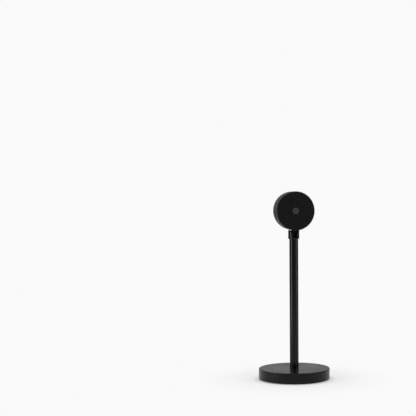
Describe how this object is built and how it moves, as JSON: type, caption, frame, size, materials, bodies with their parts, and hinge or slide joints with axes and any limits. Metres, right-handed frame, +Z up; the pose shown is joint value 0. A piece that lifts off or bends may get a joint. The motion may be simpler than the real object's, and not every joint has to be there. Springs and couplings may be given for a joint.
{
  "type": "sunset projection lamp",
  "caption": "Table lamp with a weighted round base, a slim pole and a drum-shaped head that swivels and tilts and projects a coloured disc of light through a front lens.",
  "frame": {"origin": "on the table, under the middle of the round base", "axes": "+Z up along the pole; +Y the way the beam points, so the round rear face with its push button looks towards -Y; +X to the right as seen from behind"},
  "size_m": [0.1, 0.1, 0.2648],
  "materials": {
    "base_paint": "fine satin black powder coat",
    "pole_paint": "satin black powder coat",
    "neck_paint": "satin black powder coat",
    "head_paint": "satin black powder coat",
    "bezel_paint": "satin black powder coat",
    "button_plastic": "dark grey, fine matt texture",
    "cast_ballast": "rough cast",
    "plate_steel": "zinc plated sheet",
    "pad_foam": "closed-cell foam",
    "zinc_steel": "zinc plated",
    "black_steel": "black oxide",
    "inlet_steel": "drawn stainless sheet",
    "black_plastic": "moulded, matt",
    "black_acetal": "smooth, waxy",
    "white_plastic": "moulded, matt",
    "board_green": "solder mask",
    "board_white": "white solder mask on aluminium",
    "turned_brass": "turned",
    "bare_aluminium": "stamped, bare",
    "lead_insulation": "smooth silicone insulation, one charcoal and one black",
    "led_phosphor": "yellow phosphor under a clear dome",
    "sunset_filter": "dichroic coating, orange with a yellow band at the rim",
    "lens_glass": "polished",
    "gasket_rubber": "moulded"
  },
  "bodies": {
    "stand": {"base_shell": "base_paint", "ballast": "cast_ballast", "bottom_plate": "plate_steel", "foot_pad": "pad_foam", "plate_screws": "zinc_steel", "inlet_shell": "inlet_steel", "inlet_insert": "black_plastic", "power_board": "board_green", "board_screws": "zinc_steel", "pole_nipple": "turned_brass", "nipple_washer": "zinc_steel", "nipple_nut": "zinc_steel", "pole_tube": "pole_paint", "pole_plug": "turned_brass", "swivel_bush": "turned_brass", "slip_washer": "black_acetal", "supply_lead": "lead_insulation"},
    "neck": {"neck_yoke": "neck_paint", "spring_washer": "zinc_steel", "ring_nut": "zinc_steel", "tilt_bolt": "black_steel", "tilt_nut": "black_steel", "friction_washers": "black_acetal"},
    "head": {"tilt_lug": "neck_paint", "lug_nut": "zinc_steel", "head_housing": "head_paint", "driver_board": "board_green", "driver_screws": "zinc_steel", "switch_body": "black_plastic", "heat_spreader": "bare_aluminium", "led_board": "board_white", "led_screws": "zinc_steel", "led_emitter": "led_phosphor", "led_leads": "lead_insulation", "light_funnel": "black_plastic", "filter_glass": "sunset_filter", "projection_lens": "lens_glass", "lens_gasket": "gasket_rubber", "front_bezel": "bezel_paint", "head_lead": "lead_insulation"},
    "button": {"button_cap": "button_plastic", "switch_plunger": "white_plastic"}
  },
  "joints": [
    {"name": "head_pan", "type": "hinge", "parent": "stand", "child": "neck", "pos_m": [0, 0, 0.1975], "axis": [0, 0, 1], "range_deg": [-170, 170]},
    {"name": "head_tilt", "type": "hinge", "parent": "neck", "child": "head", "pos_m": [0, 0, 0.20172], "axis": [1, 0, 0], "range_deg": [-90, 90]},
    {"name": "button_press", "type": "slide", "parent": "head", "child": "button", "axis": [0, 1, 0], "range_m": [0, 0.0004], "stiffness_N_per_m": 3000, "springref_m": -0.0002}
  ]
}
